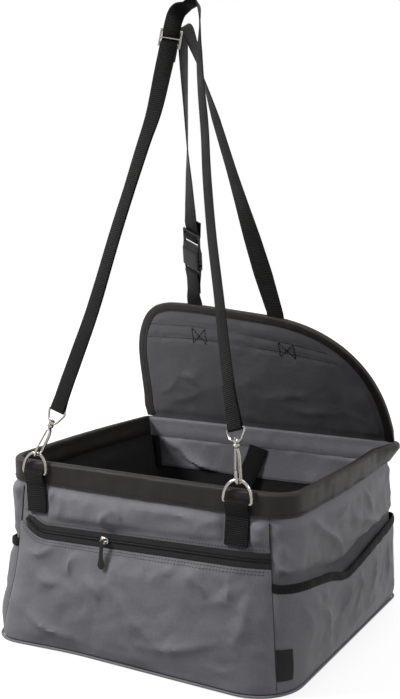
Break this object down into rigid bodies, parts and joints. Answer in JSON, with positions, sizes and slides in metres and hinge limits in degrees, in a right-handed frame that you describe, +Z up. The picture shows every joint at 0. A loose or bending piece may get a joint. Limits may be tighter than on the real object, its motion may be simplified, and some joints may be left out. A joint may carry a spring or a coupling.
{
  "type": "dog car seat",
  "caption": "Soft-sided dog car seat: open grey fabric basket with a stiffened back flap, zipped front pocket, elastic side pockets, hanging webbing straps and an inner safety tether.",
  "frame": {"origin": "centre of the flat base on the floor", "axes": "+Z up, +X to the right of someone who faces the zip pocket, +Y to the back flap"},
  "size_m": [0.4429, 0.4155, 0.8083],
  "materials": {
    "grey_cloth": "matte woven",
    "black_cloth": "matte woven",
    "black_webbing": "ribbed webbing",
    "nickel": "bright nickel plate",
    "black_plastic": "satin",
    "foam": "matte",
    "stiff_board": "matte"
  },
  "bodies": {
    "basket": {"front_panel": "grey_cloth", "right_panel": "grey_cloth", "rear_panel": "grey_cloth", "left_panel": "grey_cloth", "front_foam": "foam", "right_foam": "foam", "rear_foam": "foam", "left_foam": "foam", "front_lining": "black_cloth", "right_lining": "black_cloth", "rear_lining": "black_cloth", "left_lining": "black_cloth", "base_panel": "grey_cloth", "base_board": "stiff_board", "floor_lining": "black_cloth", "base_piping": "grey_cloth", "rim_binding": "black_cloth", "rear_channel": "grey_cloth", "rim_tube": "nickel", "back_facing": "grey_cloth", "facing_edge_left": "black_cloth", "facing_edge_right": "black_cloth", "zip_tape_upper": "black_cloth", "zip_tape_lower": "black_cloth", "zip_coil": "black_plastic", "front_pocket": "grey_cloth", "left_pocket": "grey_cloth", "right_pocket": "grey_cloth", "left_elastic": "black_cloth", "right_elastic": "black_cloth", "side_label": "black_cloth", "ring_tab_left": "black_webbing", "ring_tab_right": "black_webbing"},
    "zip_slider": {"zip_slider": "nickel"},
    "zip_puller": {"zip_puller": "black_plastic"},
    "d_ring_left": {"d_ring_left": "nickel"},
    "d_ring_right": {"d_ring_right": "nickel"},
    "front_strap": {"front_strap": "black_webbing", "tri_glide": "nickel", "snap_eye_left": "nickel", "snap_eye_right": "nickel"},
    "snap_hook_left": {"snap_hook_left": "nickel"},
    "snap_hook_right": {"snap_hook_right": "nickel"},
    "snap_gate_left": {"snap_gate_left": "nickel"},
    "snap_gate_right": {"snap_gate_right": "nickel"},
    "back_flap": {"flap_front": "grey_cloth", "flap_board": "stiff_board", "flap_back": "grey_cloth", "flap_binding": "black_cloth", "rear_strap_stub": "black_webbing", "buckle_socket": "black_plastic", "buckle_plug": "black_plastic", "rear_strap": "black_webbing"},
    "buckle_prong_left": {"buckle_prong_left": "black_plastic"},
    "buckle_prong_right": {"buckle_prong_right": "black_plastic"},
    "safety_tether": {"safety_tether": "black_webbing"}
  },
  "joints": [
    {"name": "back_flap_fold", "type": "hinge", "parent": "basket", "child": "back_flap", "pos_m": [0, 0.18392, 0.2251], "axis": [1, 0, 0], "range_deg": [-95, 0]},
    {"name": "buckle_prong_left_press", "type": "hinge", "parent": "back_flap", "child": "buckle_prong_left", "pos_m": [-0.10305, 0.11358, 0.50475], "axis": [-0.4141, -0.8533, -0.3168], "range_deg": [0, 7], "stiffness_Nm_per_rad": 0.05, "springref_deg": -5.73},
    {"name": "buckle_prong_right_press", "type": "hinge", "parent": "back_flap", "child": "buckle_prong_right", "pos_m": [-0.0773, 0.10481, 0.49472], "axis": [0.4141, 0.8533, 0.3168], "range_deg": [0, 7], "stiffness_Nm_per_rad": 0.05, "springref_deg": -5.73},
    {"name": "d_ring_left_pivot", "type": "hinge", "parent": "basket", "child": "d_ring_left", "pos_m": [-0.15758, -0.17523, 0.2155], "axis": [1, 0, 0], "range_deg": [0, 105]},
    {"name": "d_ring_right_pivot", "type": "hinge", "parent": "basket", "child": "d_ring_right", "pos_m": [0.13356, -0.17523, 0.2155], "axis": [1, 0, 0], "range_deg": [0, 105]},
    {"name": "front_strap_swing", "type": "hinge", "parent": "d_ring_left", "child": "front_strap", "pos_m": [-0.15758, -0.17215, 0.24132], "axis": [1, 0, 0], "range_deg": [0, 50]},
    {"name": "snap_hook_left_swivel", "type": "hinge", "parent": "front_strap", "child": "snap_hook_left", "pos_m": [-0.1535, -0.17215, 0.24132], "axis": [0.3801, 0.187, 0.9058], "range_deg": [-20, 20]},
    {"name": "snap_gate_left_press", "type": "hinge", "parent": "snap_hook_left", "child": "snap_gate_left", "pos_m": [-0.14054, -0.16893, 0.27286], "axis": [0.9249, -0.0768, -0.3723], "range_deg": [0, 14], "stiffness_Nm_per_rad": 0.02, "springref_deg": -8.59},
    {"name": "snap_hook_right_swivel", "type": "hinge", "parent": "front_strap", "child": "snap_hook_right", "pos_m": [0.1335, -0.17215, 0.24132], "axis": [-0.1723, 0.1991, 0.9647], "range_deg": [-20, 20]},
    {"name": "snap_gate_right_press", "type": "hinge", "parent": "snap_hook_right", "child": "snap_gate_right", "pos_m": [0.12763, -0.16851, 0.27487], "axis": [0.985, 0.0348, 0.1687], "range_deg": [0, 14], "stiffness_Nm_per_rad": 0.02, "springref_deg": -8.59},
    {"name": "zip_slider_slide", "type": "slide", "parent": "basket", "child": "zip_slider", "axis": [0.9994, 0.0042, 0.035], "range_m": [-0.07, 0.192]},
    {"name": "zip_puller_swing", "type": "hinge", "parent": "zip_slider", "child": "zip_puller", "pos_m": [-0.045, -0.18626, 0.14624], "axis": [0.9994, 0.0042, 0.035], "range_deg": [-150, 0]},
    {"name": "safety_tether_swing", "type": "hinge", "parent": "basket", "child": "safety_tether", "pos_m": [-0.0145, 0.17942, 0.199], "axis": [1, 0, 0], "range_deg": [-60, 0]}
  ],
  "couplings": [
    {"joint": "d_ring_right_pivot", "follows": "d_ring_left_pivot", "ratio": 1},
    {"joint": "buckle_prong_right_press", "follows": "buckle_prong_left_press", "ratio": 1}
  ]
}
